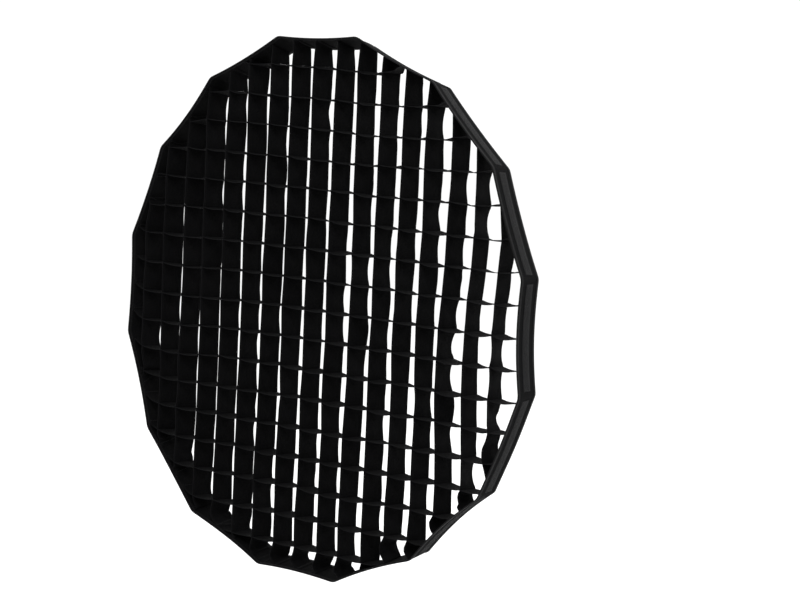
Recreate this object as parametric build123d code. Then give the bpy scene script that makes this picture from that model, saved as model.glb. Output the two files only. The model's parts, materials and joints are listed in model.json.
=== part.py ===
"""Fabric honeycomb grid for a deep 16-sided softbox, 900 mm across its corners.

Upright strips and cross strips of black cloth halve into each other at every crossing and end
on a sewn 16-sided border. The border carries hook tape round its outside, which holds the grid
inside the softbox's lip.

Frame, in millimetres: the origin is the centre of the grid, +X is right and +Z is up as seen
from the front, and the front faces -Y. Light passes along -Y.
"""

import math
import os

from build123d import *

# Driving dimensions
ACROSS_CORNERS = 900.0  # outside of the border cloth
SIDES = 16
CELL_PITCH = 50.0
STRIPS_EACH_WAY = 17
STRIP_DEPTH = 40.0  # along Y
STRIP_THICKNESS = 1.0
BORDER_DEPTH = 52.0
BORDER_THICKNESS = 1.2
BINDING_THICKNESS = 0.6
HOOK_TAPE_WIDTH = 20.0
HOOK_TAPE_THICKNESS = 1.6
HOOK_TAPE_CORNER_GAP = 6.0  # bare border cloth at each end of a side
SLOT_CLEARANCE = 0.3  # each side of a strip in its slot
STRIP_END_CLEARANCE = 0.3  # an upright strip's end to the border
BINDING_CLEARANCE = 0.5  # a binding's edge to the strips

# Sizes that follow from them
SIDE_TURN = 360.0 / SIDES
HALF_TURN = math.radians(SIDE_TURN / 2)
BORDER_OUTSIDE = ACROSS_CORNERS / 2 * math.cos(HALF_TURN)  # centre to the middle of a side
BORDER_INSIDE = BORDER_OUTSIDE - BORDER_THICKNESS
BINDING_LEG = (BORDER_DEPTH - STRIP_DEPTH) / 2 - BINDING_CLEARANCE
SLOT_WIDTH = STRIP_THICKNESS + 2 * SLOT_CLEARANCE
SLOT_DEPTH = STRIP_DEPTH / 2 + SLOT_CLEARANCE / 2
PRISM_DEPTH = 4 * BORDER_DEPTH  # longer than anything that a prism is cut against
STRIP_PLACES = [
    CELL_PITCH * (n - (STRIPS_EACH_WAY - 1) / 2) for n in range(STRIPS_EACH_WAY)
]


def regular_prism(centre_to_side, depth, middle_y=0.0):
    """A 16-sided prism along Y, with sides square to X and to Z."""
    corner_radius = centre_to_side / math.cos(HALF_TURN)
    outline = RegularPolygon(corner_radius, SIDES, rotation=SIDE_TURN / 2)
    prism = extrude(Plane.XZ * outline, amount=depth / 2, both=True)
    return Pos(0, middle_y, 0) * prism


def ring(inside, outside, depth, middle_y=0.0):
    """A 16-sided ring, given from the centre to its sides' inner and outer faces."""
    return regular_prism(outside, depth, middle_y) - regular_prism(
        inside, depth * 2, middle_y
    )


def reach_at(place, centre_to_side):
    """Half the length of the line that is place away from the centre, inside the polygon."""
    reach = math.inf
    for side in range(1, SIDES // 2):
        turn = math.radians(SIDE_TURN * side)
        reach = min(
            reach, (centre_to_side - abs(place) * math.cos(turn)) / math.sin(turn)
        )
    return reach


def crossings(place):
    """The places along a strip where another strip crosses it."""
    reach = reach_at(place, BORDER_INSIDE)
    return [along for along in STRIP_PLACES if abs(along) < reach - STRIP_THICKNESS]


def upright_strip(place):
    """One strip along Z. Its slots open to the back, and it bridges each cross strip in front."""
    strip = Pos(place, 0, 0) * Box(STRIP_THICKNESS, STRIP_DEPTH, ACROSS_CORNERS)
    strip &= regular_prism(BORDER_INSIDE - STRIP_END_CLEARANCE, PRISM_DEPTH)
    slot = Box(2 * STRIP_THICKNESS, SLOT_DEPTH, SLOT_WIDTH)
    slot_y = STRIP_DEPTH / 2 - SLOT_DEPTH / 2
    for along in crossings(place):
        strip -= Pos(place, slot_y, along) * slot
    return strip


def cross_strip(place):
    """One strip along X. Its slots open to the front."""
    strip = Pos(0, 0, place) * Box(ACROSS_CORNERS, STRIP_DEPTH, STRIP_THICKNESS)
    strip &= regular_prism(BORDER_INSIDE, PRISM_DEPTH)
    slot = Box(SLOT_WIDTH, SLOT_DEPTH, 2 * STRIP_THICKNESS)
    slot_y = SLOT_DEPTH / 2 - STRIP_DEPTH / 2
    for along in crossings(place):
        strip -= Pos(along, slot_y, place) * slot
    return strip


def side_turn(side):
    """Turns a piece made for the top side to the given side, clockwise from the front."""
    return Rot(0, SIDE_TURN * side, 0)


def hook_tape(side):
    """The length of hook tape that is sewn to the outside of one side of the border."""
    length = 2 * BORDER_OUTSIDE * math.tan(HALF_TURN) - 2 * HOOK_TAPE_CORNER_GAP
    tape = Box(length, HOOK_TAPE_WIDTH, HOOK_TAPE_THICKNESS)
    return side_turn(side) * Pos(0, 0, BORDER_OUTSIDE + HOOK_TAPE_THICKNESS / 2) * tape


def edge_binding(towards):
    """The tape folded over one edge of the border: -1 for the front edge, 1 for the rear."""
    edge_y = towards * BORDER_DEPTH / 2
    depth = BINDING_LEG + BINDING_THICKNESS
    middle_y = edge_y + towards * (BINDING_THICKNESS - depth / 2)
    body = ring(
        BORDER_INSIDE - BINDING_THICKNESS,
        BORDER_OUTSIDE + BINDING_THICKNESS,
        depth,
        middle_y,
    )
    # The room for the cloth starts inside the body's far end and stops at the cloth's edge.
    cloth = ring(BORDER_INSIDE, BORDER_OUTSIDE, BORDER_DEPTH)
    return body - cloth


def main():
    pieces = {}
    for number, place in enumerate(STRIP_PLACES, start=1):
        pieces[f"upright_strip_{number:02d}"] = upright_strip(place)
        pieces[f"cross_strip_{number:02d}"] = cross_strip(-place)
    pieces["border_band"] = ring(BORDER_INSIDE, BORDER_OUTSIDE, BORDER_DEPTH)
    for side in range(SIDES):
        pieces[f"hook_tape_{side + 1:02d}"] = hook_tape(side)
    pieces["front_binding"] = edge_binding(-1)
    pieces["rear_binding"] = edge_binding(1)

    os.makedirs("parts", exist_ok=True)
    for name, piece in pieces.items():
        export_step(piece, f"parts/{name}.step")
        print(name, len(piece.solids()), "solids", round(piece.volume), "mm3")


main()
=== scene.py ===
"""The looks of a fabric honeycomb grid: limp black strips halved into each other inside a sewn,
sixteen-sided border with hook tape round its outside. Metres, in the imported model's frame."""

import json
import math

import bmesh
import bpy
import numpy as np
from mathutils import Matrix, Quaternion, Vector

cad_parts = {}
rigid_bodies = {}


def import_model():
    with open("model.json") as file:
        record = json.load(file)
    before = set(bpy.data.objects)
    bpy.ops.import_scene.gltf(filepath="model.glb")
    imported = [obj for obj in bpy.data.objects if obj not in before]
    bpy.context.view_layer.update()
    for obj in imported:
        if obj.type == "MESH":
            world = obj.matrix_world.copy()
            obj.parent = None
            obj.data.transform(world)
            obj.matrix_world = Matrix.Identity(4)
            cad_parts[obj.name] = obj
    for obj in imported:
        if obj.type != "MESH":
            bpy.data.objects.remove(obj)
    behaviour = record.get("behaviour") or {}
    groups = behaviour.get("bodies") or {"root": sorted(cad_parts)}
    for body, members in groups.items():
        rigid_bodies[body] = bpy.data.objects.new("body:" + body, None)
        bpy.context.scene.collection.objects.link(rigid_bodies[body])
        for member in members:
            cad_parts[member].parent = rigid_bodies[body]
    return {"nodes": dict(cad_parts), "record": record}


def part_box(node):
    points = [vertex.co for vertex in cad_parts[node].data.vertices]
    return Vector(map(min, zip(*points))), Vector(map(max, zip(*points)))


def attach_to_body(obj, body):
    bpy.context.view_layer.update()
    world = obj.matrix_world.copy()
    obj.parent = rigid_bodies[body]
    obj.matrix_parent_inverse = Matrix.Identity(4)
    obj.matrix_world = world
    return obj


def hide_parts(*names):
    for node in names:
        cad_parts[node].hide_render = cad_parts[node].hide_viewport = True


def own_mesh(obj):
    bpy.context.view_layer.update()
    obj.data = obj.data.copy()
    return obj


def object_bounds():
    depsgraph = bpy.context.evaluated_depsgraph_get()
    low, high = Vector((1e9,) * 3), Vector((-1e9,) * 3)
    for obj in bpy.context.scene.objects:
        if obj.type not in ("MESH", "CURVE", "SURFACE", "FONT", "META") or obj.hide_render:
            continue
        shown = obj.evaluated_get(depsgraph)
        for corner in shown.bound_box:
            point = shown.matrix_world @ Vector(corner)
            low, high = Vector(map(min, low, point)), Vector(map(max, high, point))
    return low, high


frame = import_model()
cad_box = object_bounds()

MM = 0.001
SEED = 16

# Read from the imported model
BAND_LOW, BAND_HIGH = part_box("border_band")
BAND_REACH = BAND_HIGH.z  # centre to the outside of a side
BAND_DEPTH = BAND_HIGH.y - BAND_LOW.y
STRIP_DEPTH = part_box("upright_strip_01")[1].y * 2
SIDES = sum(name.startswith("hook_tape_") for name in frame["nodes"])
STRIPS = sum(name.startswith("upright_strip_") for name in frame["nodes"])
PLACES = [sum(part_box(f"upright_strip_{n + 1:02d}"), Vector()).x / 2 for n in range(STRIPS)]
PITCH = PLACES[1] - PLACES[0]
BODY_OF = {
    node: body for body, nodes in frame["record"]["behaviour"]["bodies"].items() for node in nodes
}

# The border
BAND_THICKNESS = 1.2 * MM
SIDE_LENGTH = 2 * BAND_REACH * math.tan(math.pi / SIDES)
SCALLOP = 3.5 * MM  # how far the middle of a side is drawn in
CORNER_ROUNDING = 3.0 * MM
# Where the limp border isn't round: the way there from the middle, in degrees clockwise from the
# top, how many degrees it spreads over, and how far it stands out.
BULGES = (
    (60.0, 25.0, 5.0 * MM),
    (112.0, 11.0, 13.0 * MM),
    (218.0, 16.0, 11.0 * MM),
    (275.0, 15.0, -4.5 * MM),
    (312.0, 16.0, -9.0 * MM),
)
FLARE = 8.0 * MM  # the front edge stands this much further out than the back edge
DROOP = 7.0 * MM  # how far the back edge hangs down at the top
RIM_POINTS = 64  # on each side
RIM_STEP = 4.0 * MM
LINE_STEP = 2.0 * MM  # along a row of stitches
EDGE_EASE = 0.3 * MM  # on the band's edges

# The band's lap
LAP_CORNER = 9  # the left one of the bottom side's two corners
LAP_LENGTH = 20.0 * MM
LAP_THICKNESS = 0.9 * MM
LAP_STEP = 2.0 * MM
LAP_EASE = 0.2 * MM
LAP_STITCH_IN = 3.0 * MM  # from the lap's ends to its rows of stitches

# The bindings
BINDING_THICKNESS = 0.6 * MM
BINDING_LEG = 5.5 * MM  # from the band's edge to the tape's edge
BINDING_STITCH_IN = 1.9 * MM  # from the tape's edge to its dent and stitches
LAYER_GAP = 0.05 * MM  # between one layer of the border and the next

# The hook tape
HOOK_TAPE_WIDTH = 20.0 * MM
HOOK_TAPE_BASE = 0.5 * MM
HOOK_TAPE_EASE = 0.15 * MM
HOOK_TAPE_END_GAP = 6.0 * MM  # from a corner
HOOK_TAPE_STITCH_IN = 1.6 * MM
HOOKS_FROM_END = 2.5 * MM
HOOKS_FROM_EDGES = (3.4 * MM, 3.2 * MM)
HOOK_PITCH = 2.2 * MM
HOOK_HEIGHT = 1.1 * MM
HOOK_RADIUS = 0.16 * MM
HOOK_SIDES = 4
# A hook from its foot to its tip: how far along and how high, in heights, and its tilt in degrees
HOOK_PATH = (
    (0.0, 0.0, 0),
    (0.05, 0.45, 10),
    (0.25, 0.85, 50),
    (0.62, 0.92, 110),
    (0.85, 0.62, 160),
)

# The strips
HEM_WIDTH = 4.5 * MM
HEM_HALF = 0.50 * MM  # half the thickness of the hem
CLOTH_HALF = 0.32 * MM  # half the thickness between the hems
SLOT_HALF = 0.3 * MM  # half the width of a slot
STRIP_GAP = BAND_THICKNESS / 2 + HEM_HALF + 0.1 * MM  # from the middle of the band to a strip's end
ROWS_IN_CELL = 11
FOLD_ROWS = 4
TAB_ROWS = 3
TAB_LENGTH = 11.0 * MM  # folded over and sewn to the band
FOLD_RADIUS = 2.5 * MM
CLEARANCE = 7.0 * MM  # from the band to the nearest slot

# The limp lattice as a whole hangs a little to the left of the middle of its border.
DRIFT = (-7.0 * MM, 0.0 * MM)
END_DRIFT = 0.8  # the share of it that the sewn ends have
# Where it strays from an even grid: middle (x, z), reach, and how far it strays (x, z)
STRAYS = (
    (-0.36, -0.05, 0.11, 0.0 * MM, -11.0 * MM),
    (-0.25, -0.32, 0.09, -2.0 * MM, -6.0 * MM),
    (0.16, 0.36, 0.12, 0.0 * MM, -10.0 * MM),
    (0.40, 0.18, 0.08, 7.0 * MM, -6.0 * MM),
    (0.32, -0.02, 0.08, -7.0 * MM, 0.0 * MM),
    (0.40, -0.06, 0.12, -3.0 * MM, 0.0 * MM),
    (0.28, -0.33, 0.10, 2.0 * MM, 8.0 * MM),
)
WANDER = (1.0 * MM, 0.6 * MM)  # of a whole strip along its length: uprights, cross strips
SCATTER = 0.5 * MM  # of a single crossing

# How far a crossing leans from the middle of its depth to the back edge
LEAN_X = 2.5 * MM
LEAN_X_FALL = 0.003  # less for each metre to the right
LEAN_X_EDGE = 0.3  # and from here to the right
LEAN_X_EDGE_FALL = 0.04  # less again for each metre
LEAN_Z = -0.9 * MM
LEAN_SCATTER = 0.6 * MM

# Where the uprights begin to be slack, and how far on they are at their slackest
SLACK_FROM = 0.15
SLACK_OVER = 0.2
# How far a span bows at its front edge, then at its back edge: the middle and the spread
UPRIGHT_BOW = ((0.0 * MM, 0.8 * MM), (-0.8 * MM, 1.7 * MM))
SLACK_ADDS = ((0.0 * MM, 0.8 * MM), (-2.0 * MM, 0.9 * MM))
CROSS_BOW = ((-0.3 * MM, 0.5 * MM), (-1.2 * MM, 0.7 * MM))

# The hanging lattice as a cloth
SEWN = "sewn"
CLOTH_SETTINGS = {
    "vertex_group_mass": SEWN,
    "quality": 6,
    "mass": 0.02,
    "air_damping": 4.0,
    "tension_stiffness": 60.0,
    "compression_stiffness": 60.0,
    "shear_stiffness": 20.0,
    "bending_stiffness": 0.3,
    "shrink_min": -0.007,  # grows a little, so that it is slack
}
SETTLE_FRAMES = 24

# Stitches
STITCH_PITCH = 4.0 * MM
STITCH_LENGTH = 3.2 * MM
THREAD_RADIUS = 0.24 * MM
STITCH_SIDES = 6
# A stitch from end to end: how far along in lengths, then its size and its height in radii
STITCH_PROFILE = (
    (-0.5, 0.35, -1.2),
    (-0.36, 0.9, 0.1),
    (0.0, 1.0, 0.55),
    (0.36, 0.9, 0.1),
    (0.5, 0.35, -1.2),
)
STITCH_FLATTENED = 0.8

# Weaves, as the distance from thread to thread
STRIP_WEAVE = 0.45 * MM
BAND_WEAVE = 0.8 * MM
HOOK_TAPE_WEAVE = 0.6 * MM
RIB_PITCH = 0.9 * MM
HEM_STITCH_IN = 3.2 * MM  # from a strip's edge to the stitches of its hem
HEM_STITCH_PITCH = 3.5 * MM
HEM_STITCH_HALF = 0.35 * MM  # half its width

# Colours at the darkest and at the lightest: all near black
STRIP_TONES = ((0.0002, 0.0002, 0.0003), (0.0046, 0.0046, 0.0050))
BAND_TONES = ((0.0004, 0.0004, 0.0005), (0.0038, 0.0038, 0.0041))
GROSGRAIN_TONES = ((0.0007, 0.0007, 0.0008), (0.0048, 0.0048, 0.0052))
HOOK_TAPE_TONES = ((0.0020, 0.0020, 0.0022), (0.0075, 0.0075, 0.008))
HOOK_TONES = ((0.004, 0.004, 0.0043), (0.014, 0.014, 0.0145))
THREAD_TONES = ((0.005, 0.005, 0.0053), (0.016, 0.016, 0.0165))

# Meshes
SHARP_ANGLE = math.radians(50.0)
WELD_DISTANCE = 0.001 * MM

# The studio
CAMERA_PLACE = Vector((2.2548, -2.3408, 0.3517))
CAMERA_AIM = Vector((0.1858, -0.001, 0.031))
CAMERA_ROLL = math.radians(2.58)
CAMERA_LENS = 88.46
SENSOR_WIDTH = 36.0
FLOOR_REACH = 30.0
FLOOR_DROP = 0.30  # below the grid
SKY_STRENGTH = 1.08
LAMPS = (  # name, place, size and power
    ("key_lamp", (2.8, -2.4, 2.8), 1.2, 120.0),
    ("fill_lamp", (-2.6, -2.4, 1.2), 2.0, 40.0),
    ("rear_lamp", (1.0, 3.0, 2.2), 2.0, 60.0),
)


# Meshes ------------------------------------------------------------------------------------------


class Shape:
    """Collects the vertices, faces, UVs in metres and material numbers of one mesh."""

    def __init__(self):
        self.points, self.uvs, self.faces, self.materials = [], [], [], []
        self.count = 0

    def add(self, points, uvs, faces, material=0):
        """Adds points (n, 3) with a UV each (n, 2), and faces that count from these points."""
        self.points.append(np.asarray(points, float))
        self.uvs.append(np.asarray(uvs, float))
        self.faces += [tuple(face) for face in np.asarray(faces) + self.count]
        self.materials += [material] * len(faces)
        self.count += len(points)

    def piece(self, name, materials, weld=True):
        """Makes the object, with its seams welded or left open."""
        mesh = bpy.data.meshes.new(name)
        mesh.from_pydata(np.concatenate(self.points).tolist(), [], self.faces)
        for material in materials:
            mesh.materials.append(material)
        mesh.polygons.foreach_set("material_index", self.materials)
        corners = np.zeros(len(mesh.loops), np.int32)
        mesh.loops.foreach_get("vertex_index", corners)
        layer = mesh.uv_layers.new(name="cloth")
        layer.data.foreach_set("uv", np.concatenate(self.uvs)[corners].astype(np.float32).ravel())
        if weld:
            weld_seams(mesh)
        mesh.shade_smooth()
        mesh.set_sharp_from_angle(angle=SHARP_ANGLE)
        mesh.validate()
        made = bpy.data.objects.new(name, mesh)
        bpy.context.scene.collection.objects.link(made)
        return made


def weld_seams(mesh):
    """Joins the doubled points where a swept surface closes on itself."""
    work = bmesh.new()
    work.from_mesh(mesh)
    bmesh.ops.remove_doubles(work, verts=work.verts, dist=WELD_DISTANCE)
    work.to_mesh(mesh)
    work.free()


def grid_faces(rows, columns):
    """The quads of a grid of points, numbered row by row."""
    corner = np.arange((rows - 1) * columns).reshape(rows - 1, columns)[:, :-1]
    return np.stack([corner, corner + columns, corner + columns + 1, corner + 1], -1).reshape(-1, 4)


def surface_normals(points):
    """Unit normals of a grid of points (rows, columns, 3)."""
    normals = np.cross(np.gradient(points, axis=1), np.gradient(points, axis=0))
    return normals / np.linalg.norm(normals, axis=-1, keepdims=True)


def add_cloth(shape, middle, half, uvs, present):
    """Adds a sheet with a thickness: middle (rows, columns, 3), half its thickness in each column,
    and which cells of the grid are there, so that slots stay open."""
    rows, columns = middle.shape[:2]
    offset = surface_normals(middle) * np.broadcast_to(half, (rows, columns))[..., None]
    points = np.concatenate([(middle + offset).reshape(-1, 3), (middle - offset).reshape(-1, 3)])
    under = rows * columns
    index = np.arange(under).reshape(rows, columns)
    top = np.stack([index[:-1, :-1], index[:-1, 1:], index[1:, 1:], index[1:, :-1]], -1)[present]
    faces = [top, top[:, ::-1] + under]
    padded = np.pad(present, 1)
    before, after = padded[:-1, 1:-1], padded[1:, 1:-1]
    faces += edge_walls(index[:, :-1], index[:, 1:], before, after, under)
    left, right = padded[1:-1, :-1], padded[1:-1, 1:]
    faces += edge_walls(index[1:, :], index[:-1, :], left, right, under)
    shape.add(points, np.concatenate([uvs.reshape(-1, 2)] * 2), np.concatenate(faces))


def edge_walls(start, end, before, after, under):
    """Quads that close a sheet along the grid lines where it has a cell on one side only."""
    opens, closes = after & ~before, before & ~after
    first = [end[opens], start[opens], start[opens] + under, end[opens] + under]
    second = [start[closes], end[closes], end[closes] + under, start[closes] + under]
    return [np.stack(first, -1), np.stack(second, -1)]


def spline_at(values, where):
    """Values (n, ...) at fractional row numbers, on a smooth curve through them."""
    first = np.clip(np.floor(where).astype(int), 0, len(values) - 2)
    t = (np.asarray(where, float) - first).reshape(-1, *[1] * (values.ndim - 1))
    padded = np.concatenate([2 * values[:1] - values[1:2], values, 2 * values[-1:] - values[-2:-1]])
    a, b, c, d = (padded[first + step] for step in range(4))
    return b + 0.5 * t * (c - a + t * (2 * a - 5 * b + 4 * c - d + t * (3 * (b - c) + d - a)))


def add_stitches(shape, line, up, material):
    """Adds a row of stitches along a line of points, with up the way that they stand out."""
    steps = np.linalg.norm(np.diff(line, axis=0), axis=1)
    along = np.concatenate([[0], np.cumsum(steps)])
    count = max(1, int(along[-1] / STITCH_PITCH))
    middles = (np.arange(count) + 0.5) * along[-1] / count

    def at(values, places):
        return np.stack([np.interp(places, along, values[:, k]) for k in range(3)], -1)

    ahead = at(line, middles + STITCH_LENGTH / 2) - at(line, middles - STITCH_LENGTH / 2)
    ahead /= np.linalg.norm(ahead, axis=1, keepdims=True)
    rise = at(up, middles)
    rise -= ahead * (rise * ahead).sum(1, keepdims=True)
    rise /= np.linalg.norm(rise, axis=1, keepdims=True)
    axes = np.stack([ahead, np.cross(ahead, rise), rise], 1)
    points = np.einsum("pk,skx->spx", STITCH_POINTS, axes) + at(line, middles)[:, None]
    flat = np.zeros((count * len(STITCH_POINTS), 2))
    starts = np.arange(count)[:, None, None] * len(STITCH_POINTS)
    shape.add(points.reshape(-1, 3), flat, (STITCH_FACES + starts).reshape(-1, 4), material)


def tube_faces(rings, sides):
    """The quads between one ring of points and the next, for a small tube open at both ends."""
    faces = []
    for low in range(0, (rings - 1) * sides, sides):
        for side in range(sides):
            following = (side + 1) % sides
            high = low + sides
            faces.append((low + side, high + side, high + following, low + following))
    return faces


def stitch_template():
    """One stitch of thread that dips into the cloth at both ends, as points and quads."""
    turn = np.arange(STITCH_SIDES) * 2 * math.pi / STITCH_SIDES
    rings = []
    for along, size, height in STITCH_PROFILE:
        forward = np.full(STITCH_SIDES, along * STITCH_LENGTH)
        across = np.cos(turn) * size * THREAD_RADIUS
        upward = (np.sin(turn) * size * STITCH_FLATTENED + height) * THREAD_RADIUS
        rings.append(np.stack([forward, across, upward], -1))
    faces = tube_faces(len(rings), STITCH_SIDES)
    last = (len(rings) - 1) * STITCH_SIDES
    for first, order in ((0, 1), (last, -1)):
        for corners in ((0, 1, 2, 3), (0, 3, 4, 5)):
            faces.append(tuple(first + corner for corner in corners[::order]))
    return np.concatenate(rings), np.array(faces)


STITCH_POINTS, STITCH_FACES = stitch_template()


# The rim -----------------------------------------------------------------------------------------


class Rim:
    """The line round the border in the middle of the band's thickness, clockwise from the front,
    from the left end of the top side."""

    def __init__(self, random):
        across = (np.arange(RIM_POINTS) / RIM_POINTS - 0.5) * SIDE_LENGTH
        sides = []
        for side in range(SIDES):
            turn = 2 * math.pi * side / SIDES
            drawn_in = SCALLOP * random.uniform(0.75, 1.25)
            reach = BAND_REACH - BAND_THICKNESS / 2 - drawn_in * (1 - (2 * across / SIDE_LENGTH) ** 2)
            outward = np.outer(reach, (math.sin(turn), math.cos(turn)))
            sides.append(outward + np.outer(across, (math.cos(turn), -math.sin(turn))))
        spread = CORNER_ROUNDING * RIM_POINTS / SIDE_LENGTH
        points = self.bulged(self.rounded(np.concatenate(sides), spread))
        closed = np.concatenate([points, points[:1]])
        along = np.concatenate([[0], np.cumsum(np.linalg.norm(np.diff(closed, axis=0), axis=1))])
        self.length = along[-1]
        self.corners = along[::RIM_POINTS]  # how far round each corner is, and the first one again
        self.along, self.points = along[:-1], points
        tangent = np.roll(points, -1, 0) - np.roll(points, 1, 0)
        tangent /= np.linalg.norm(tangent, axis=1, keepdims=True)
        self.normals = np.stack([-tangent[:, 1], tangent[:, 0]], -1)

    @staticmethod
    def rounded(points, spread):
        """The closed line smoothed over that many points, which rounds its corners."""
        reach = np.arange(-4 * int(spread), 4 * int(spread) + 1)
        weights = np.exp(-0.5 * (reach / spread) ** 2)
        return sum(w * np.roll(points, step, 0) for w, step in zip(weights, reach)) / weights.sum()

    @staticmethod
    def bulged(points):
        """The line moved in and out from the middle, where the border isn't round."""
        turn = np.degrees(np.arctan2(points[:, 0], points[:, 1]))
        outward = np.zeros(len(points))
        for way, spread, out in BULGES:
            away = (turn - way + 180) % 360 - 180
            outward += out * np.exp(-0.5 * (away / spread) ** 2)
        return points * (1 + outward / BAND_REACH)[:, None]

    def reach(self, points, y):
        """How far the band is from the middle of the border at depth y, the way of each point."""
        turn, rim_turn = (np.arctan2(*line.T) for line in (points, self.points))
        reach = np.interp(turn, rim_turn, np.linalg.norm(self.points, axis=1), period=2 * math.pi)
        return reach - leaning(points, y)

    def middle_of_side(self, along):
        """How far round the middle is of the side that a place is on."""
        side = np.searchsorted(self.corners, along % self.length, side="right") - 1
        return (self.corners[side] + self.corners[side + 1]) / 2

    def at(self, along, outward=0.0):
        """Points (x, z) on the rim, moved outward."""
        x, z, nx, nz = (
            np.interp(along, self.along, values, period=self.length)
            for values in (*self.points.T, *self.normals.T)
        )
        return np.stack([x + nx * outward, z + nz * outward], -1)

    def outward(self, along):
        """The way out of the border, as vectors."""
        gap = self.at(along, 1.0) - self.at(along)
        return np.stack([gap[:, 0], np.zeros(len(gap)), gap[:, 1]], -1)

    def solid(self, along, outward, y):
        """Points in space: outward and y go with along, or are the same for all of it."""
        flat = self.at(along, outward - leaning(self.at(along), y))
        return np.stack([flat[..., 0], np.broadcast_to(y, flat.shape[:-1]), flat[..., 1]], -1)

    def crossing(self, start, step, y):
        """Where a straight strip through start, going the way of step, meets the inside of the
        band at depth y: how far along the rim, and the point (x, z)."""
        fine, near = 0.5 * MM, 2 * MM
        along = np.arange(0, self.length, fine)
        points = self.at(along, -STRIP_GAP - leaning(self.at(along), y))
        off = points - start
        side = off[:, 0] * step[1] - off[:, 1] * step[0]
        ahead = off @ step > 0
        hit = np.flatnonzero((side * np.roll(side, -1) <= 0) & ahead & (abs(side) < near))[0]
        following = (hit + 1) % len(along)
        share = side[hit] / (side[hit] - side[following])
        return along[hit] + share * fine, points[hit] + share * (points[following] - points[hit])


def leaning(points, y):
    """How far the band leans in at depth y, the way of each point (x, z) from the middle."""
    top = np.maximum(0.0, points[..., 1]) / np.linalg.norm(points, axis=-1)
    back = y / BAND_DEPTH
    return FLARE * back + DROOP * top**4 * (back + 0.5)


# The lattice of strips ---------------------------------------------------------------------------


UPRIGHT, CROSS = 0, 1
SPAN_STEPS = 5  # rows of the lattice from one crossing to the next
DEPTHS = np.linspace(-STRIP_DEPTH / 2, STRIP_DEPTH / 2, 5)


class Strip:
    """One strip's middle surface: a row of points across its depth at every step of its length."""

    def __init__(self, kind, number, rim, random):
        self.kind = kind
        self.crossed = [n for n in range(STRIPS) if abs(PLACES[n]) < reach_at(PLACES[number])]
        step = np.array([0.0, 1.0]) if kind == UPRIGHT else np.array([1.0, 0.0])
        middle = step[::-1] * (PLACES[number] + random.uniform(-1, 1) * MM)
        middle = middle + np.array(DRIFT) * END_DRIFT * step[::-1]
        self.ends = []  # at each end, for each depth: how far along the rim, and the point
        for way in (-1, 1):
            found = [rim.crossing(middle, step * way, y) for y in DEPTHS]
            corners = np.array([(x, y, z) for y, (_, (x, z)) in zip(DEPTHS, found)])
            self.ends.append((np.array([along for along, _ in found]), corners))

    def set_crossings(self, lines):
        """Makes the rows from the lines of points where the strip is crossed, in order."""
        nodes = np.stack([self.ends[0][1], *lines, self.ends[1][1]])
        spans = len(nodes) - 1
        self.rows = spline_at(nodes, np.linspace(0, spans, spans * SPAN_STEPS + 1))


def reach_at(place):
    """How far from the middle a strip at that place goes, on a border with straight sides."""
    turns = np.arange(1, SIDES // 2) * 2 * math.pi / SIDES
    return np.min((BAND_REACH - BAND_THICKNESS - abs(place) * np.cos(turns)) / np.sin(turns))


def smooth_noise(random, count, amount):
    """Three random waves added up, for the way that a strip wanders along its length."""
    t = np.linspace(0, 1, count)
    waves = np.zeros(count)
    for k in (1, 2, 3):
        waves += random.normal() / k * np.sin(2 * math.pi * (k * t + random.uniform()))
    return waves * amount


def kept_inside(line, rim):
    """The line moved towards the middle of the border where it would be too near the band."""
    flat = line[:, [0, 2]]
    keep = np.minimum(1.0, (rim.reach(flat, DEPTHS) - CLEARANCE) / np.linalg.norm(flat, axis=1))
    return line * np.stack([keep, np.ones(len(line)), keep], -1)


def crossing_line(x, z, random):
    """The line, from front to back, where upright x and cross strip z are slotted together."""
    place = np.array([PLACES[x], PLACES[z]])
    place += np.array(DRIFT) + random.normal(0, SCATTER, 2)
    for middle_x, middle_z, reach, stray_x, stray_z in STRAYS:
        away = math.hypot(PLACES[x] - middle_x, PLACES[z] - middle_z)
        place += np.array((stray_x, stray_z)) * math.exp(-0.5 * (away / reach) ** 2)
    past_edge = max(0.0, PLACES[x] - LEAN_X_EDGE)
    lean_x = LEAN_X - LEAN_X_FALL * PLACES[x] - LEAN_X_EDGE_FALL * past_edge
    lean = random.normal(0, LEAN_SCATTER, 2) + (lean_x, LEAN_Z)
    back = DEPTHS / DEPTHS[-1]
    return np.stack([place[0] + lean[0] * back, DEPTHS, place[1] + lean[1] * back], -1)


def slack_strips(rim, random):
    """All the strips, with the wander and the slack that limp cloth has."""
    spots = range(STRIPS)
    strips = {(kind, n): Strip(kind, n, rim, random) for kind in (UPRIGHT, CROSS) for n in spots}
    across = [smooth_noise(random, STRIPS, WANDER[0]) for _ in spots]
    upward = [smooth_noise(random, STRIPS, WANDER[1]) for _ in spots]
    lines = {}
    for x in spots:
        for z in spots:
            line = crossing_line(x, z, random) + (across[x][z], 0, upward[z][x])
            lines[x, z] = kept_inside(line, rim)
    for (kind, number), strip in strips.items():
        keys = [(number, n) if kind == UPRIGHT else (n, number) for n in strip.crossed]
        strip.set_crossings([lines[key] for key in keys])
        add_slack(strip, random)
    return strips


def random_bow(strip, x, random):
    """How far a span at x bows at its front edge and at its back edge. The uprights on the right
    are slackest."""
    bow = np.array(CROSS_BOW)
    if strip.kind == UPRIGHT:
        loose = min(1.0, max(0.0, (x - SLACK_FROM) / SLACK_OVER))
        bow = np.array(UPRIGHT_BOW) + loose * np.array(SLACK_ADDS)
    return [random.normal(middle, spread) for middle, spread in bow]


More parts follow.
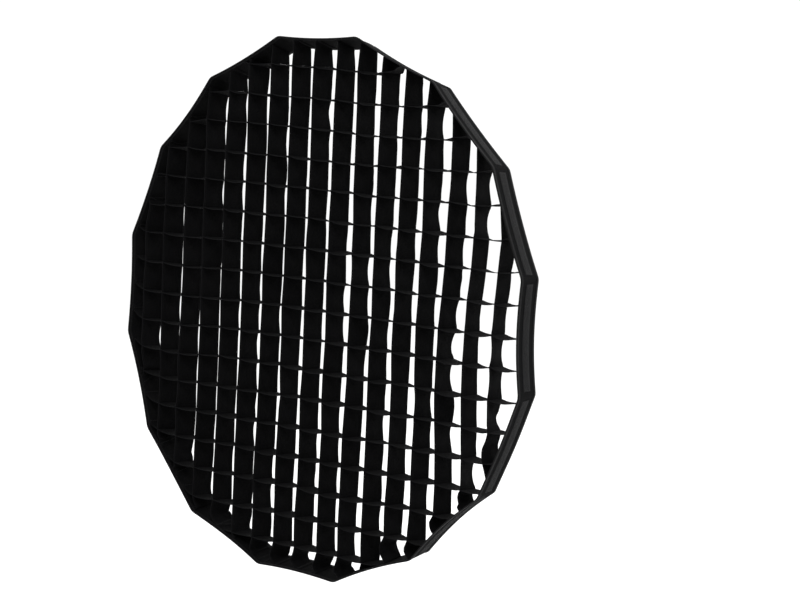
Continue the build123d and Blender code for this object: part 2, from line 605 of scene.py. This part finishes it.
def add_slack(strip, random):
    """Bows each span of a strip sideways between its crossings, most along its back edge."""
    sideways = 0 if strip.kind == UPRIGHT else 2
    back = (DEPTHS / DEPTHS[-1] + 1) / 2
    for span in range(len(strip.crossed) + 1):
        rows = slice(span * SPAN_STEPS, (span + 1) * SPAN_STEPS + 1)
        start, end = strip.rows[rows][[0, -1], 2]
        length = math.dist(start, end)
        shape = np.linspace(0, 1, SPAN_STEPS + 1) ** random.uniform(0.75, 1.2)
        bow = np.sin(math.pi * shape) * min(1.0, length / PITCH) ** 2
        front_bow, back_bow = random_bow(strip, start[0], random)
        strip.rows[rows, :, sideways] += np.outer(bow, front_bow * (1 - back) + back_bow * back)


def row_key(kind, number, strip, row):
    """What a row of a strip's lattice is known by: its two strips at a crossing, which share it."""
    span, part = divmod(row, SPAN_STEPS)
    if part > 0 or not 0 < span <= len(strip.crossed):
        return kind, number, row
    other = strip.crossed[span - 1]
    return (number, other) if kind == UPRIGHT else (other, number)


def join_lattice(strips):
    """The points and quads of all the strips, with the points of a slotted crossing shared, and
    the points that are sewn to the band. Gives each strip the numbers of its points."""
    points, faces, held, first_of = [], [], [], {}
    for (kind, number), strip in strips.items():
        strip.ids = np.empty(strip.rows.shape[:2], int)
        for row, line in enumerate(strip.rows):
            key = row_key(kind, number, strip, row)
            if key not in first_of:
                first_of[key] = len(points)
                points += line.tolist()
            strip.ids[row] = first_of[key] + np.arange(len(line))
        ids = strip.ids
        quads = np.stack([ids[:-1, :-1], ids[:-1, 1:], ids[1:, 1:], ids[1:, :-1]], -1)
        faces += quads.reshape(-1, 4).tolist()
        held += ids[[0, -1]].ravel().tolist()
    return points, faces, held


def settle(strips):
    """Hangs the whole lattice by its sewn ends as cloth, so that its slack falls as gravity has it."""
    points, faces, held = join_lattice(strips)
    mesh = bpy.data.meshes.new("lattice")
    mesh.from_pydata(points, [], faces)
    lattice = bpy.data.objects.new("lattice", mesh)
    bpy.context.scene.collection.objects.link(lattice)
    lattice.vertex_groups.new(name=SEWN).add(held, 1.0, "REPLACE")
    cloth = lattice.modifiers.new("cloth", "CLOTH")
    for setting, value in CLOTH_SETTINGS.items():
        setattr(cloth.settings, setting, value)
    cloth.point_cache.frame_end = SETTLE_FRAMES
    for step in range(1, SETTLE_FRAMES + 1):
        bpy.context.scene.frame_set(step)
    settled = lattice.evaluated_get(bpy.context.evaluated_depsgraph_get()).data
    hung = np.zeros(len(points) * 3)
    settled.vertices.foreach_get("co", hung)
    hung = hung.reshape(-1, 3)
    for strip in strips.values():
        strip.rows = hung[strip.ids]
    bpy.data.objects.remove(lattice)
    bpy.context.scene.frame_set(1)


def hem_columns():
    """Places across a strip's depth, and half its thickness there: a folded hem on both edges."""
    edge = STRIP_DEPTH / 2
    inner = edge - HEM_WIDTH
    half_of = {
        # The hem, rounded at the edge of the strip
        edge: 0.45 * HEM_HALF,
        edge - 0.4 * MM: 0.85 * HEM_HALF,
        edge - 1.3 * MM: HEM_HALF,
        inner + 0.3 * MM: HEM_HALF,
        # The single cloth
        inner - 0.4 * MM: CLOTH_HALF,
        inner - 5.0 * MM: CLOTH_HALF,
        5.0 * MM: CLOTH_HALF,
    }
    places = np.array([-place for place in half_of] + [0.0] + [*half_of][::-1])
    halves = np.array([*half_of.values(), CLOTH_HALF, *[*half_of.values()][::-1]])
    return places, halves


def folded_end(start, corner, rim, along, way):
    """The rows of a strip's end: a tight fold from the row at start, round the corner where the
    strip meets the band, then the tab that lies along the band."""
    y = start[:, 1]
    bend_end = rim.solid(along + way * FOLD_RADIUS, -STRIP_GAP, y)
    rows = []
    for t in np.linspace(0, 1, FOLD_ROWS + 1)[1:]:
        rows.append((1 - t) ** 2 * start + 2 * t * (1 - t) * corner + t * t * bend_end)
    for length in np.linspace(FOLD_RADIUS, TAB_LENGTH, TAB_ROWS + 1)[1:]:
        rows.append(rim.solid(along + way * length, -STRIP_GAP, y))
    return rows


def strip_rows(strip):
    """Where the rows of a strip's mesh are, in steps of its lattice, close together at its slots
    and clear of its folds, and the numbers of the rows that a slot follows."""
    where, slots = [], []
    spans = len(strip.crossed) + 1
    for span in range(spans):
        length = math.dist(strip.rows[span * SPAN_STEPS, 2], strip.rows[(span + 1) * SPAN_STEPS, 2])
        first = FOLD_RADIUS if span == 0 else SLOT_HALF
        last = FOLD_RADIUS if span == spans - 1 else SLOT_HALF
        count = max(2, round(ROWS_IN_CELL * length / PITCH) + 1)
        inside = np.linspace(first / length, 1 - last / length, count)
        where += list((span + inside) * SPAN_STEPS)
        if span < spans - 1:
            slots.append(len(where) - 1)
    return np.array(where), slots


def finer(rows, places):
    """Rows of points at DEPTHS (rows, depths, 3), run through at other places across the depth."""
    columns = (places + STRIP_DEPTH / 2) / (STRIP_DEPTH / (len(DEPTHS) - 1))
    return np.moveaxis(spline_at(np.moveaxis(rows, 1, 0), columns), 0, 1)


def with_ends(strip, rim, rows, places):
    """A strip's rows with a folded end before and after them. A tab lies towards the middle of
    the side of the border that it is sewn to."""
    folded = []
    for start, (along, corners) in zip((rows[0], rows[-1]), strip.ends):
        way = 1.0 if rim.middle_of_side(along[2]) >= along[2] else -1.0
        fine_along = np.interp(places, DEPTHS, along)
        folded.append(folded_end(start, finer(corners[None], places)[0], rim, fine_along, way))
    return np.stack(folded[0][::-1] + list(rows) + folded[1])


def strip_shape(strip, rim):
    """The mesh of a strip with its slots, hems, folded ends and the stitches that hold them."""
    places, halves = hem_columns()
    where, slots = strip_rows(strip)
    middle = with_ends(strip, rim, finer(spline_at(strip.rows, where), places), places)
    lengths = np.linalg.norm(np.diff(middle[:, len(places) // 2], axis=0), axis=1)
    u = np.concatenate([[0], np.cumsum(lengths)])
    uvs = np.stack(np.meshgrid(u, places, indexing="ij"), -1)
    present = np.ones((len(middle) - 1, len(places) - 1), bool)
    behind, before = places[1:] > 0.1 * MM, places[:-1] < -0.1 * MM
    for slot in slots:
        present[slot + FOLD_ROWS + TAB_ROWS, behind if strip.kind == UPRIGHT else before] = False
    shape = Shape()
    add_cloth(shape, middle, halves, uvs, present)
    normals = surface_normals(middle)
    for row, (along, _) in zip((TAB_ROWS - 1, -TAB_ROWS), strip.ends):
        facing = normals[row] * np.sign(normals[row] @ -rim.outward(along[2:3])[0])[:, None]
        add_stitches(shape, middle[row] + facing * (CLOTH_HALF + 0.1 * MM), facing, 1)
    return shape


# Materials ---------------------------------------------------------------------------------------


class Graph:
    """Builds a material's nodes: each call makes a node, sets its inputs and links it up."""

    def __init__(self, name, **shader):
        self.material = bpy.data.materials.new(name)
        self.material.use_nodes = True
        self.tree = self.material.node_tree
        self.shader = next(n for n in self.tree.nodes if n.type == "BSDF_PRINCIPLED")
        for key, value in shader.items():
            self.shader.inputs[key.replace("_", " ")].default_value = value
        self.uv = self.node("ShaderNodeUVMap", uv_map="cloth").outputs["UV"]

    def node(self, kind, inputs=None, **settings):
        """Makes a node. Its inputs are given as values, or as other nodes' outputs to link."""
        made = self.tree.nodes.new(kind)
        for key, value in settings.items():
            setattr(made, key, value)
        for key, value in (inputs or {}).items():
            if isinstance(value, bpy.types.NodeSocket):
                self.tree.links.new(value, made.inputs[key])
            else:
                made.inputs[key].default_value = value
        return made

    def math(self, operation, a, b=0.0, c=0.0):
        """One sum on one to three numbers."""
        return self.node("ShaderNodeMath", {0: a, 1: b, 2: c}, operation=operation).outputs[0]

    def mix(self, a, a_share, b, b_share):
        """The two numbers, each times its share, added up."""
        parts = self.math("MULTIPLY", a, a_share), self.math("MULTIPLY", b, b_share)
        return self.math("ADD", *parts)

    def ribs(self, along, pitch):
        """Rounded ridges, 0 to 1, one for each pitch along."""
        return self.math("ABSOLUTE", self.math("SINE", self.math("MULTIPLY", along, math.pi / pitch)))

    def split(self, vector):
        """The first two parts of a vector."""
        parts = self.node("ShaderNodeSeparateXYZ", {0: vector})
        return parts.outputs["X"], parts.outputs["Y"]

    def noise(self, scale, detail):
        """Smooth random cloudiness, 0 to 1, of that scale per metre."""
        where = self.node("ShaderNodeTexCoord").outputs["Object"]
        inputs = {"Vector": where, "Scale": scale, "Detail": detail}
        return self.node("ShaderNodeTexNoise", inputs).outputs["Fac"]

    def colour(self, factor, tones, low_at=0.0, high_at=1.0):
        """Gives the surface a colour between two tones that follows factor."""
        made = self.node("ShaderNodeValToRGB", {"Fac": factor})
        for stop, position, tone in zip(made.color_ramp.elements, (low_at, high_at), tones):
            stop.position = position
            stop.color = (*tone, 1)
        self.link(made.outputs["Color"], "Base Color")

    def roughness(self, factor, low, high):
        """Gives the surface a roughness from low to high that follows factor from 0 to 1."""
        made = self.node("ShaderNodeMapRange", {"Value": factor, "To Min": low, "To Max": high})
        self.link(made.outputs[0], "Roughness")

    def bump(self, height, distance, strength=1.0, under=None):
        """The normals of a surface with that relief, on top of the relief under it."""
        inputs = {"Height": height, "Distance": distance, "Strength": strength}
        if under is not None:
            inputs["Normal"] = under
        return self.node("ShaderNodeBump", inputs).outputs["Normal"]

    def link(self, output, name):
        """Gives an output to one of the shader's sockets."""
        self.tree.links.new(output, self.shader.inputs[name])

    def weave(self, pitch):
        """The height of a plain weave, 0 to 1: warp and weft threads that pass over each other."""
        u, v = self.split(self.uv)
        over = self.node("ShaderNodeTexChecker", {"Vector": self.uv, "Scale": 1 / pitch}).outputs["Fac"]
        under = self.math("SUBTRACT", 1.0, over)
        return self.mix(self.ribs(u, pitch), over, self.ribs(v, pitch), under)


def strip_cloth():
    """Matte black nylon: a fine plain weave, soft creases, a stitched hem and rubbed edges."""
    graph = Graph("strip_cloth", Specular_IOR_Level=0.03, Sheen_Weight=0.003, Sheen_Roughness=0.4)
    u, v = graph.split(graph.uv)
    from_edge = graph.math("SUBTRACT", STRIP_DEPTH / 2, graph.math("ABSOLUTE", v))
    weave = graph.weave(STRIP_WEAVE)
    creases = graph.noise(scale=70.0, detail=5.0)
    cloudy = graph.noise(scale=9.0, detail=3.0)
    stitch_line = graph.math("COMPARE", from_edge, HEM_STITCH_IN, HEM_STITCH_HALF)
    pitches = graph.math("FRACT", graph.math("DIVIDE", u, HEM_STITCH_PITCH))
    stitch = graph.math("MULTIPLY", stitch_line, graph.math("LESS_THAN", pitches, 0.8))
    ragged = graph.math("ADD", from_edge, graph.math("MULTIPLY", cloudy, -MM))
    rubbed = graph.math("LESS_THAN", ragged, 0.5 * MM)
    lighter = graph.math("MULTIPLY", graph.math("MAXIMUM", rubbed, stitch), 0.9)
    tone = graph.math("ADD", graph.mix(cloudy, 0.5, weave, 0.3), lighter)
    graph.colour(tone, STRIP_TONES, low_at=0.15, high_at=1.6)
    graph.roughness(creases, low=0.72, high=0.92)
    soft = graph.bump(creases, 2.0 * MM, strength=0.7)
    woven = graph.bump(weave, 0.14 * MM, strength=0.9, under=soft)
    graph.link(graph.bump(stitch, 0.35 * MM, under=woven), "Normal")
    return graph.material


def band_cloth():
    """Heavier black cloth for the border, in a coarser weave."""
    graph = Graph("band_cloth", Specular_IOR_Level=0.03, Sheen_Weight=0.004, Sheen_Roughness=0.4)
    weave = graph.weave(BAND_WEAVE)
    cloudy = graph.noise(scale=14.0, detail=4.0)
    graph.colour(graph.mix(cloudy, 0.6, weave, 0.35), BAND_TONES, low_at=0.15)
    graph.roughness(cloudy, low=0.7, high=0.9)
    soft = graph.bump(graph.noise(scale=40.0, detail=3.0), 1.0 * MM, strength=0.4)
    graph.link(graph.bump(weave, 0.18 * MM, strength=0.9, under=soft), "Normal")
    return graph.material


def grosgrain():
    """Ribbed binding tape: fine ribs across it, with a slight sheen."""
    graph = Graph("grosgrain_tape", Specular_IOR_Level=0.05, Sheen_Weight=0.006, Sheen_Roughness=0.35)
    rib = graph.ribs(graph.split(graph.uv)[0], RIB_PITCH)
    cloudy = graph.noise(scale=20.0, detail=3.0)
    graph.colour(graph.mix(rib, 0.5, cloudy, 0.5), GROSGRAIN_TONES, low_at=0.1)
    graph.roughness(cloudy, low=0.5, high=0.72)
    graph.link(graph.bump(rib, 0.25 * MM, strength=0.9), "Normal")
    return graph.material


def hook_nylon():
    """The base of the hook tape, a tight woven nylon."""
    graph = Graph("hook_tape_base", Specular_IOR_Level=0.08)
    weave = graph.weave(HOOK_TAPE_WEAVE)
    graph.colour(graph.noise(scale=60.0, detail=2.0), HOOK_TAPE_TONES)
    graph.roughness(weave, low=0.75, high=0.55)
    graph.link(graph.bump(weave, 0.15 * MM, strength=0.8), "Normal")
    return graph.material


def hook_filament():
    """The bent nylon hooks, glossier than cloth."""
    graph = Graph("hook_filament", Specular_IOR_Level=0.18)
    shade = graph.noise(scale=400.0, detail=1.0)
    graph.colour(shade, HOOK_TONES)
    graph.roughness(shade, low=0.35, high=0.5)
    return graph.material


def thread():
    """Black polyester thread, with the twist of its plies."""
    graph = Graph("thread", Specular_IOR_Level=0.14, Sheen_Weight=0.03, Sheen_Roughness=0.3)
    twist = graph.noise(scale=1800.0, detail=1.0)
    graph.colour(twist, THREAD_TONES)
    graph.roughness(twist, low=0.45, high=0.65)
    graph.link(graph.bump(twist, 0.05 * MM, strength=0.7), "Normal")
    return graph.material


# The border's pieces -----------------------------------------------------------------------------


def add_sweep(shape, rim, section, ends=None, step=RIM_STEP):
    """Adds the surface that a section makes when it is run along the rim, all the way round, or
    from one end to the other and closed there. A section is a closed line of (outward, y) points."""
    start, end = ends or (0.0, rim.length)
    along = np.linspace(start, end, round((end - start) / step) + 1)
    section = np.asarray(section, float)
    around = np.concatenate([[0], np.cumsum(np.linalg.norm(np.diff(section, axis=0), axis=1))])
    points = np.stack([rim.solid(along, outward, y) for outward, y in section], 1)
    uvs = np.stack(np.meshgrid(along, around, indexing="ij"), -1)
    shape.add(points.reshape(-1, 3), uvs.reshape(-1, 2), grid_faces(*points.shape[:2]))
    if not ends:
        return
    for row, order in ((0, 1), (-1, -1)):
        ring = points[row, :-1][::order]
        flat = np.concatenate([uvs[row, :-1][::order], uvs[row, :1]])
        fan = [(n, (n + 1) % len(ring), len(ring)) for n in range(len(ring))]
        shape.add(np.concatenate([ring, [ring.mean(0)]]), flat, fan)


def soft_box_section(low_out, high_out, half_width, ease, steps):
    """A closed rectangle of (outward, y) points with eased corners, clockwise."""
    ys = np.linspace(ease - half_width, half_width - ease, steps)
    high_side = [(high_out, y) for y in ys]
    back = [(high_out - ease, half_width), (low_out + ease, half_width)]
    low_side = [(low_out, y) for y in ys[::-1]]
    front = [(low_out + ease, -half_width), (high_out - ease, -half_width)]
    return [*high_side, *back, *low_side, *front, high_side[0]]


def rim_line(rim, start, end, outward, y):
    """A line of points along the rim and the way out at each, for a row of stitches."""
    along = np.linspace(start, end, max(2, round((end - start) / LINE_STEP)))
    return rim.solid(along, outward, y), rim.outward(along)


def line_across(rim, place, outward, half_width, count):
    """A line of points across the band at one place, and the way out at each."""
    along = np.full(count, place)
    ys = np.linspace(-half_width, half_width, count)
    return rim.solid(along, outward, ys), rim.outward(along)


def border_band(rim, looks):
    """The band of cloth that every strip is sewn to. Its ends lap at a lower corner, inside, with
    two rows of stitches."""
    half = BAND_THICKNESS / 2
    shape = Shape()
    add_sweep(shape, rim, soft_box_section(-half, half, BAND_DEPTH / 2, EDGE_EASE, 8))
    corner = rim.corners[LAP_CORNER]
    inside = -half - LAP_THICKNESS
    lap_edge = BAND_DEPTH / 2 - BINDING_LEG - 0.2 * MM
    ends = (corner - LAP_LENGTH / 2, corner + LAP_LENGTH / 2)
    add_sweep(shape, rim, soft_box_section(inside, -half, lap_edge, LAP_EASE, 8), ends, LAP_STEP)
    for way in (-1, 1):
        place = corner + way * (LAP_LENGTH / 2 - LAP_STITCH_IN)
        line, outward = line_across(rim, place, inside, lap_edge - MM, 12)
        add_stitches(shape, line, -outward, 1)
    return shape.piece("border_band_cloth", [looks["band"], looks["thread"]])


def edge_binding(rim, looks, name, towards):
    """Ribbed tape folded over one edge of the band, with a row of stitches on both faces."""
    half, tape = BAND_THICKNESS / 2, BINDING_THICKNESS
    edge, leg = BAND_DEPTH / 2, BAND_DEPTH / 2 - BINDING_LEG
    dent = leg + BINDING_STITCH_IN
    outer = [
        (half + LAYER_GAP, leg),
        (half + tape * 0.7, leg - 0.1 * MM),
        (half + tape, leg + 0.5 * MM),
        (half + tape * 0.85, dent),
        (half + tape, leg + 3.2 * MM),
        (half + tape, edge - 0.2 * MM),
        (half + 0.2 * MM, edge + tape),
    ]
    inner = [(-outward, y) for outward, y in outer[::-1]]
    hollow = [(-half - LAYER_GAP, edge + LAYER_GAP), (half + LAYER_GAP, edge + LAYER_GAP)]
    outline = [*outer, *inner, *hollow, outer[0]]
    shape = Shape()
    add_sweep(shape, rim, [(outward, y * towards) for outward, y in outline][::towards])
    for side in (-1, 1):
        line, up = rim_line(rim, 0, rim.length, side * (half + tape * 0.9), towards * dent)
        add_stitches(shape, line, up * side, 1)
    return shape.piece(name, [looks["grosgrain"], looks["thread"]])


def hook_template():
    """One nylon hook: a stem that curls over, as points and quads, with +x the way it curls."""
    turn = np.arange(HOOK_SIDES) * 2 * math.pi / HOOK_SIDES + math.pi / 4
    across, out = np.cos(turn) * HOOK_RADIUS, np.sin(turn) * HOOK_RADIUS
    rings = []
    for along, height, lean in HOOK_PATH:
        tilt = math.radians(lean)
        forward = along * HOOK_HEIGHT + across * math.cos(tilt)
        upward = height * HOOK_HEIGHT - across * math.sin(tilt)
        rings.append(np.stack([forward, out, upward], -1))
    # Its rings turn the other way, so its faces are turned over
    faces = [(a, d, c, b) for a, b, c, d in tube_faces(len(rings), HOOK_SIDES)]
    last = (len(rings) - 1) * HOOK_SIDES
    faces += [(3, 2, 1, 0), (last, last + 1, last + 2, last + 3)]
    return np.concatenate(rings), np.array(faces)


def add_hooks(shape, rim, middle, reach, base_out, random):
    """Adds a tape's rows of hooks, which curl one way and the other by turns."""
    points, faces = hook_template()
    spots = np.arange(HOOKS_FROM_END - reach, reach - HOOKS_FROM_END, HOOK_PITCH)
    edge = HOOK_TAPE_WIDTH / 2
    rows = np.arange(HOOKS_FROM_EDGES[0] - edge, edge - HOOKS_FROM_EDGES[1], HOOK_PITCH)
    for row, y in enumerate(rows):
        uneven = random.normal(0, 0.12 * MM, len(spots))
        along = middle + spots + (row % 2) * HOOK_PITCH / 2 + uneven
        feet = rim.solid(along, base_out - 0.1 * MM, y + random.normal(0, 0.08 * MM, len(spots)))
        up = rim.outward(along)
        curl = np.cross(up, (0.0, 1.0, 0.0)) * (1 if row % 2 else -1)
        axes = np.stack([curl, np.cross(up, curl), up], 1)
        placed = np.einsum("pk,skx->spx", points, axes) + feet[:, None]
        starts = np.arange(len(spots))[:, None, None] * len(points)
        flat = np.zeros((len(spots) * len(points), 2))
        shape.add(placed.reshape(-1, 3), flat, (faces + starts).reshape(-1, 4), 1)


def hook_tape(rim, looks, side, random):
    """One length of hook tape: a woven base with plain selvages, its hooks and its stitches."""
    middle = (rim.corners[side] + rim.corners[side + 1]) / 2
    reach = SIDE_LENGTH / 2 - HOOK_TAPE_END_GAP
    low = BAND_THICKNESS / 2 + LAYER_GAP
    high = low + HOOK_TAPE_BASE
    edge = HOOK_TAPE_WIDTH / 2
    shape = Shape()
    section = soft_box_section(low, high, edge, HOOK_TAPE_EASE, 6)
    add_sweep(shape, rim, section, (middle - reach, middle + reach))
    add_hooks(shape, rim, middle, reach, high, random)
    stitched = edge - HOOK_TAPE_STITCH_IN
    for y in (-stitched, stitched):
        line, up = rim_line(rim, middle - reach + MM, middle + reach - MM, high, y)
        add_stitches(shape, line, up, 2)
    for way in (-1, 1):
        place = middle + way * (reach - HOOK_TAPE_STITCH_IN)
        add_stitches(shape, *line_across(rim, place, high, stitched, 9), 2)
    materials = [looks[name] for name in ("hook_base", "hooks", "thread")]
    return shape.piece(f"hook_tape_{side + 1:02d}_woven", materials)


# The scene ---------------------------------------------------------------------------------------


def attach(piece, node):
    """Puts a piece in the place of a CAD node: it rides on that node's body."""
    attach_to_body(piece, BODY_OF[node])
    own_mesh(piece)
    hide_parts(node)


def hang_strips(rim, looks, random):
    """Makes the lattice, hangs it, and puts each strip in its place."""
    strips = slack_strips(rim, random)
    settle(strips)
    materials = [looks["strip"], looks["thread"]]
    for (kind, number), strip in strips.items():
        upright = kind == UPRIGHT
        node = f"upright_strip_{number + 1:02d}" if upright else f"cross_strip_{STRIPS - number:02d}"
        piece = strip_shape(strip, rim).piece(f"{node}_cloth", materials, weld=False)
        attach(piece, node)


def sew_border(rim, looks, random):
    """Makes the band with its bindings and hook tapes, and puts each in its place."""
    band = border_band(rim, looks)
    ways = {"front_binding": -1, "rear_binding": 1}
    bindings = [edge_binding(rim, looks, f"{node}_tape", way) for node, way in ways.items()]
    tapes = [hook_tape(rim, looks, side, random) for side in range(SIDES)]
    attach(band, "border_band")
    for binding, node in zip(bindings, ways):
        attach(binding, node)
    for side, tape in enumerate(tapes):
        attach(tape, f"hook_tape_{side + 1:02d}")


def make_floor():
    """A plain pale floor, well below the grid, which its softbox would hold up."""
    mesh = bpy.data.meshes.new("floor")
    reach, z = FLOOR_REACH, cad_box[0].z - FLOOR_DROP
    corners = [(-reach, -reach, z), (reach, -reach, z), (reach, reach, z), (-reach, reach, z)]
    mesh.from_pydata(corners, [], [(0, 1, 2, 3)])
    floor = bpy.data.objects.new("floor", mesh)
    bpy.context.scene.collection.objects.link(floor)
    graph = Graph("floor_paint", Base_Color=(0.95, 0.95, 0.95, 1), Roughness=0.9, Specular_IOR_Level=0.1)
    mesh.materials.append(graph.material)


def place_object(name, data, place, turned):
    """Puts a lamp or a camera in the scene."""
    made = bpy.data.objects.new(name, data)
    made.location = place
    made.rotation_mode = "QUATERNION"
    made.rotation_quaternion = turned
    bpy.context.scene.collection.objects.link(made)
    return made


def make_light():
    """White surroundings and three large soft lamps, which face the grid's middle."""
    world = bpy.data.worlds.new("studio")
    world.use_nodes = True
    sky = world.node_tree.nodes["Background"].inputs
    sky["Color"].default_value = (1.0, 1.0, 1.0, 1)
    sky["Strength"].default_value = SKY_STRENGTH
    bpy.context.scene.world = world
    for name, place, size, power in LAMPS:
        data = bpy.data.lights.new(name, "AREA")
        data.size, data.energy = size, power
        place_object(name, data, place, (-Vector(place)).to_track_quat("-Z", "Y"))


def make_camera():
    """Looks at the grid's front from its right and a little above, with a slight roll."""
    data = bpy.data.cameras.new("camera")
    data.lens, data.sensor_width = CAMERA_LENS, SENSOR_WIDTH
    facing = (CAMERA_AIM - CAMERA_PLACE).to_track_quat("-Z", "Y")
    turned = facing @ Quaternion((0, 0, 1), CAMERA_ROLL)
    bpy.context.scene.camera = place_object("camera", data, CAMERA_PLACE, turned)


random = np.random.default_rng(SEED)
looks = {
    "strip": strip_cloth(),
    "band": band_cloth(),
    "grosgrain": grosgrain(),
    "hook_base": hook_nylon(),
    "hooks": hook_filament(),
    "thread": thread(),
}
rim = Rim(random)
hang_strips(rim, looks, random)
sew_border(rim, looks, random)
make_floor()
make_light()
make_camera()
bpy.context.scene.view_settings.view_transform = "Standard"
